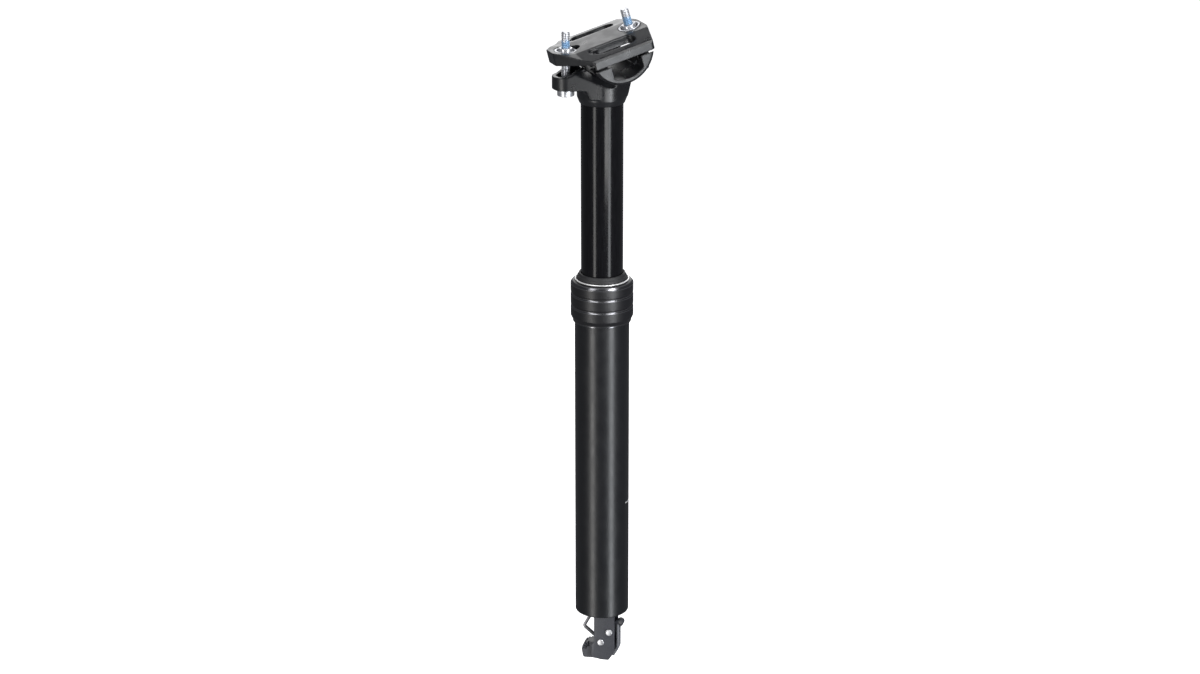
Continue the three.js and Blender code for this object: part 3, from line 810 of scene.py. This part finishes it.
# ---- bolts, nuts and washers ----
def threaded_rod(low, high, sides=40, rings_per_turn=10):
    """A rod with a helical thread, drawn as rings whose radius follows the helix."""
    crest = BOLT_R - 0.02
    depth = 0.5
    chamfer = 0.45
    bm = bmesh.new()
    count = int((high - low) / THREAD_PITCH * rings_per_turn)
    rings = []
    for i in range(count + 1):
        z = low + (high - low) * i / count
        taper = chamfer * (1 - min(1.0, (high - z) / 0.5))
        ring = []
        for k in range(sides):
            phase = (z / THREAD_PITCH - k / sides) % 1.0
            flank = min(1.0, max(0.0, abs(phase - 0.5) * 2.6 - 0.3))
            r = crest - depth * flank - taper
            turn = k * TAU / sides
            ring.append(bm.verts.new((r * math.cos(turn), r * math.sin(turn), z)))
        rings.append(ring)
    skin(bm, rings)
    return as_object("thread", bm)


def make_bolt(name, node, grip, place, patch):
    """A socket-head bolt. The patch gives the locking compound's lower and upper end."""
    seat = -grip - GAP
    head_r, head_h = 4.85, 3.8
    head = lathe("head", fillet([
        (0, seat - head_h, 0),
        (head_r, seat - head_h, 0.45),
        (head_r, seat, 0.15),
        (0, seat, 0),
    ]), 64)
    cut(head, rod("socket", 2.3, seat - 6, seat - 1.6, "Z", steps=6))
    bevel(head, 0.12, 2)
    piece = join_meshes(name, head, threaded_rod(seat - 0.5, STUD))
    piece.data.transform(place)
    finish = threadlocked_zinc(name + "_zinc", place, *patch)
    stands_for(piece, node, finish, 30)


def make_nut(name, node, place):
    hole_r, foot, top = 2.75, -0.6, 1.9
    profile = fillet([
        (hole_r, foot, 0.1),
        (4.1, foot, 0.3),
        (4.15, 0.2, 0.5),
        (3.8, top, 0.5),
        (hole_r, top, 0.15),
    ])
    stands_for(lathe(name, profile, 64, place), node, ZINC, 40)


def make_washer(name, node, place):
    hole_r, rim_r, foot, rim = 4.8, 6.3, -0.6, 0.5
    profile = fillet([
        (hole_r, foot, 0.1),
        (rim_r, foot, 0.1),
        (rim_r, rim, 0.25),
        (5.4, rim, 0.3),
        (hole_r, -0.1, 0.1),
    ])
    stands_for(lathe(name, profile, 96, place), node, ZINC, 40)


# ---- release under the tube, drawn square and then turned ----
def make_bracket():
    """A disc under the base plug, with two cheeks that hold the lever and the cable foot."""
    low = BRACKET_LOW.z
    pin_hole_r = 3.8
    disc = lathe("bracket_disc", fillet([
        (pin_hole_r, DISC_LOW, 0.1),
        (DISC_R, DISC_LOW, 0.5),
        (DISC_R, DISC_HIGH, 0.2),
        (pin_hole_r, DISC_HIGH, 0.1),
    ]), 96)
    in_disc = DISC_LOW + 1
    side = fillet([
        (-3.6, in_disc, 0),
        (8.8, in_disc, 0),
        (8.8, -209.4, 1),
        (5.3, low, 1.4),
        (0.6, low, 2),
        (-2, low + 0.5, 2),
        (-5.2, low + 0.8, 1.2),
        (-5.2, -205.4, 0.8),
        (-3.6, -203.4, 1),
    ])
    for near, far in ((-CHEEK_OUT, -CHEEK_IN), (CHEEK_IN, CHEEK_OUT)):
        cheek = prism("cheek", side, near, far)
        bevel(cheek, 0.3, 3)
        unite(disc, cheek)
    disc.name = "release_bracket"
    disc.data.transform(RELEASE_PLACE)
    stands_for(disc, "actuator_bracket", CAST, 40)


def make_rivet(name, node, centre):
    """A pin across both cheeks, with a low round head outside each."""
    upper = [(1.55, 0.1, 0), (2.1, 0.1, 0.1), (1.9, 1.15, 0.6), (0, 1.2, 0)]
    lower = [(r, -CHEEK_OUT - h, radius) for r, h, radius in reversed(upper)]
    profile = fillet(lower + [(r, CHEEK_OUT + h, radius) for r, h, radius in upper])
    across = Matrix.Translation((centre.x, 0, centre.z)) @ Matrix.Rotation(-math.pi / 2, 4, "X")
    stands_for(lathe(name, profile, 48, RELEASE_PLACE @ across), node, PIN, 40)


def make_lever():
    """An arm from the cable barrel to the pivot, and a nose that lifts the release pin."""
    x, z = PIVOT.x, PIVOT.z
    half = 1.85
    outline = belt([(x, z, 2.8), (BARREL.x, BARREL.z, 2.1)], 48)
    arm = prism("release_lever_arm", outline, -half, half)
    unite(arm, prism("nose", belt([(x, z, 2.6), (-0.3, -195.3, 1.5)], 40), -half, half))
    cut(
        arm,
        rod("pivot_hole", RIVET_HOLE_R, -8, 8, "Y", (x, z), 32),
        rod("barrel_hole", 1.4, -8, 8, "Y", (BARREL.x, BARREL.z), 32),
    )
    bevel(arm, 0.25, 2)
    arm.data.transform(RELEASE_PLACE)
    stands_for(arm, "release_lever", CAST, 40)


def make_barrel():
    """The pin that ends the cable, with a hole across it for the wire."""
    r, half = 1.2, 1.8
    profile = fillet([(0, -half, 0), (r, -half, 0.25), (r, half, 0.25), (0, half, 0)])
    across = Matrix.Translation(BARREL) @ Matrix.Rotation(math.pi / 2, 4, "X")
    piece = lathe("cable_barrel_pin", profile, 48, across)
    cut(piece, rod("wire_hole", 0.55, -200, -180, "Z", (BARREL.x, 0), 24))
    piece.data.transform(RELEASE_PLACE)
    stands_for(piece, "cable_barrel", SPRING, 40)


def make_foot():
    """The foot that leads the cable in: a quadrant with grooves in both faces, on a lug."""
    half = CHEEK_IN - GAP
    lug_half = half - 0.05
    groove_depth = 1.1
    x, z = QUADRANT
    lobes = [(x, z, 5), (-3, -207.8, 3.2), (-9.4, -213.4, 1.6), (3.6, -212.8, 1.8), (4, -207, 3)]
    foot = prism("cable_foot_quadrant", belt(lobes, 64), -half, half)
    lug = belt([(FOOT_PIN.x, FOOT_PIN.z, 2.6), (2.6, -208, 4)], 60)
    unite(foot, prism("lug", lug, -lug_half, lug_half))
    tools = []
    for degrees in (100, 123, 146, 169):
        angle = math.radians(degrees)
        line = belt([(x + r * math.cos(angle), z + r * math.sin(angle), 0.45) for r in (2.4, 6)])
        tools.append(prism("rib", line, -8, groove_depth - half))
        tools.append(prism("rib", line, half - groove_depth, 8))
    tools.append(rod("cable_way", 1.2, -220, -200, "Z", (-9.6, 0), 24))
    tools.append(rod("pin_hole", RIVET_HOLE_R, -8, 8, "Y", (FOOT_PIN.x, FOOT_PIN.z), 32))
    cut(foot, *tools)
    forge(foot, 0.15, 1)
    foot.data.transform(RELEASE_PLACE)
    stands_for(foot, "cable_foot", CAST, 60)


def strip_outline(points, half):
    """The outline of a band of even thickness along a bent line."""
    sides = ([], [])
    for i, point in enumerate(points):
        here = Vector(point)
        before = Vector(points[max(0, i - 1)])
        after = Vector(points[min(len(points) - 1, i + 1)])
        along = (after - before).normalized()
        across = Vector((-along.y, along.x)) * half
        sides[0].append(here + across)
        sides[1].append(here - across)
    return [(p.x, p.y) for p in sides[0] + sides[1][::-1]]


def make_guard():
    """A bent strip down the back of the bracket, forked round the lever's end."""
    line = fillet([(10.3, -192, 0), (10.3, -207.6, 4), (7.3, -212.7, 0)])
    guard = prism("cable_guard_strip", strip_outline(line, 0.7), -2.9, 2.9)
    cut(guard, block("fork", (8, -2.15, -199.2), (14, 2.15, -188)))
    bevel(guard, 0.2, 3)
    guard.data.transform(RELEASE_PLACE)
    stands_for(guard, "cable_guard", GUARD, 50)


def wire_mesh(name, points, radius, sides, place):
    """Round wire along a line of points, with flat ends."""
    bm = bmesh.new()
    rings = []
    normal = None
    for i, point in enumerate(points):
        tangent = (points[min(i + 1, len(points) - 1)] - points[max(i - 1, 0)]).normalized()
        if normal is None:
            normal = tangent.orthogonal().normalized()
        normal = (normal - tangent * normal.dot(tangent)).normalized()
        other = tangent.cross(normal)
        rings.append([bm.verts.new(point + normal * x + other * y)
                      for x, y in circle(0, 0, radius, sides)])
    skin(bm, rings)
    return as_object(name, bm, place)


def make_clip():
    """The bent clip beside the cheek, which keeps the cable in the foot."""
    line = fillet([(-6, -186.8, 0), (-10.6, -195.2, 1.6), (-4.1, -200.7, 0)])
    piece = prism("wire_clip_bent", strip_outline(line, 0.95), -2.3, -0.6)
    bevel(piece, 0.3, 3)
    piece.data.transform(RELEASE_PLACE)
    stands_for(piece, "wire_clip", SPRING, 50)


def make_spring():
    """The lever's return spring, coiled beside the lever round its rivet."""
    turns, per_turn = 2, 32
    coil_r, wire_r, pitch, start = 2.5, 0.26, 0.8, 2.25
    points = []
    for i in range(turns * per_turn + 1):
        angle = i / per_turn * TAU
        points.append(Vector((
            PIVOT.x + coil_r * math.cos(angle),
            start + i / per_turn * pitch,
            PIVOT.z + coil_r * math.sin(angle),
        )))
    piece = wire_mesh("lever_spring_coil", points, wire_r, 12, RELEASE_PLACE)
    stands_for(piece, "lever_spring", ZINC, 60)


# ---- what stays as the frame has it, with finishes ----
KEPT = {
    "oil_seal": RUBBER,
    "top_out_bumper": RUBBER,
    "gland_seal": RUBBER,
    "floating_piston_seal": RUBBER,
    "upper_bushing": NYLON,
    "lower_bushing": NYLON,
    "guide_key_1": BRASS,
    "guide_key_2": BRASS,
    "guide_key_3": BRASS,
    "cylinder_top_plug": BARE,
    "rod_gland": BARE,
    "main_piston": BARE,
    "floating_piston": BARE,
    "base_plug": BARE,
    "gas_cylinder": STEEL,
    "piston_rod": STEEL,
    "gland_clip": STEEL,
    "piston_nut": STEEL,
    "rod_nut": STEEL,
    "release_pin": STEEL,
}


def finish_kept():
    for node, material in KEPT.items():
        paint(frame["nodes"][node], material)


# ---- camera, floor and lights, in metres ----
VIEW_YAW = math.radians(-22.7)
VIEW_PITCH = math.radians(19.9)
VIEW_DISTANCE = 1.747
VIEW_HEIGHT = -0.011
VIEW_SIDE = -0.00116
LENS = 90.5
FLOOR_Z = -0.62
WORLD_LIGHT = 0.14
BACK = Vector((
    math.sin(VIEW_YAW) * math.cos(VIEW_PITCH),
    -math.cos(VIEW_YAW) * math.cos(VIEW_PITCH),
    math.sin(VIEW_PITCH),
))
SIDE = Vector((math.cos(VIEW_YAW), math.sin(VIEW_YAW), 0))


def make_camera():
    data = bpy.data.cameras.new("camera")
    data.sensor_width = 36
    data.lens = LENS
    camera = bpy.data.objects.new("camera", data)
    camera.location = Vector((0, 0, VIEW_HEIGHT)) + SIDE * VIEW_SIDE + BACK * VIEW_DISTANCE
    camera.rotation_euler = BACK.to_track_quat("Z", "Y").to_euler()
    SCENE.collection.objects.link(camera)
    SCENE.camera = camera


def make_floor():
    """A plain pale floor that glows white and throws no light on the part."""
    bpy.ops.mesh.primitive_plane_add(size=60, location=(0, 0, FLOOR_Z))
    floor = bpy.context.object
    floor.name = "pale_floor"
    material, shader = principled("pale_floor_paint", (0.95, 0.95, 0.95), 0.9)
    shader.inputs["Emission Color"].default_value = (1, 1, 1, 1)
    shader.inputs["Emission Strength"].default_value = 0.95
    floor.data.materials.append(material)
    floor.visible_glossy = False
    floor.visible_diffuse = False
    floor.visible_shadow = False


def make_world():
    """White where the camera sees it, and a faint cool light everywhere else."""
    world = bpy.data.worlds.new("pale_world")
    world.use_nodes = True
    tree = world.node_tree
    tree.nodes.clear()
    output = tree.nodes.new("ShaderNodeOutputWorld")
    mix = tree.nodes.new("ShaderNodeMixShader")
    seen = tree.nodes.new("ShaderNodeBackground")
    lit = tree.nodes.new("ShaderNodeBackground")
    path = tree.nodes.new("ShaderNodeLightPath")
    seen.inputs["Color"].default_value = (1, 1, 1, 1)
    seen.inputs["Strength"].default_value = 1.0
    lit.inputs["Color"].default_value = (0.9, 0.93, 1, 1)
    lit.inputs["Strength"].default_value = WORLD_LIGHT
    tree.links.new(path.outputs["Is Camera Ray"], mix.inputs[0])
    tree.links.new(lit.outputs[0], mix.inputs[1])
    tree.links.new(seen.outputs[0], mix.inputs[2])
    tree.links.new(mix.outputs[0], output.inputs["Surface"])
    SCENE.world = world


def softbox(name, turn, height, distance, size, watts, colour=(1, 1, 1), aim=0.0):
    """A rectangular light, turned round the post by degrees from the camera's side."""
    data = bpy.data.lights.new(name, "AREA")
    data.shape = "RECTANGLE"
    data.size, data.size_y = size
    data.energy = watts
    data.color = colour
    light = bpy.data.objects.new(name, data)
    yaw = VIEW_YAW + math.radians(turn)
    light.location = (math.sin(yaw) * distance, -math.cos(yaw) * distance, height)
    light.rotation_euler = (light.location - Vector((0, 0, aim))).to_track_quat("Z", "Y").to_euler()
    light.visible_camera = False
    SCENE.collection.objects.link(light)


def make_lights():
    """Tall boxes for the strips along the tubes, small ones for collar and head, one behind."""
    strip, top = (0.34, 2.3), (0.4, 0.8)
    softbox("left_box", -41, -0.25, 1.6, strip, watts=16, colour=(1, 0.985, 0.96))
    softbox("right_box", 41, -0.25, 1.6, strip, watts=23, colour=(0.94, 0.97, 1))
    softbox("top_left_box", -50, 1.3, 0.6, top, watts=5, aim=0.1)
    softbox("top_right_box", 55, 1.3, 0.6, top, watts=6, aim=0.1)
    softbox("front_top_box", 45, 1.45, 1.3, (0.7, 0.5), watts=12, aim=0.15)
    softbox("head_box", 24, -0.025, 0.47, (0.16, 0.09), watts=0.42, aim=0.145)
    softbox("rear_box", 180, 0.6, 1.8, (1.4, 1.2), watts=11)


SCENE.view_settings.view_transform = "Standard"
make_camera()
make_floor()
make_world()
make_lights()

make_outer_tube()
make_collar()
make_wiper()
make_stanchion()
make_head()
make_cradle()
make_plate()
make_bolt("front_clamp_bolt", "front_bolt", FRONT_GRIP, FRONT_PLACE, (2.0, 6.0))
make_bolt("rear_clamp_bolt", "rear_bolt", REAR_GRIP, REAR_PLACE, (2.0, 6.5))
make_nut("front_round_nut", "front_nut", FRONT_PLACE)
make_nut("rear_round_nut", "rear_nut", REAR_PLACE)
make_washer("front_dished_washer", "front_washer", FRONT_PLACE)
make_washer("rear_dished_washer", "rear_washer", REAR_PLACE)
make_bracket()
make_rivet("lever_rivet", "lever_pin", PIVOT)
make_rivet("foot_rivet", "foot_pin", FOOT_PIN)
make_lever()
make_barrel()
make_foot()
make_guard()
make_clip()
make_spring()
finish_kept()
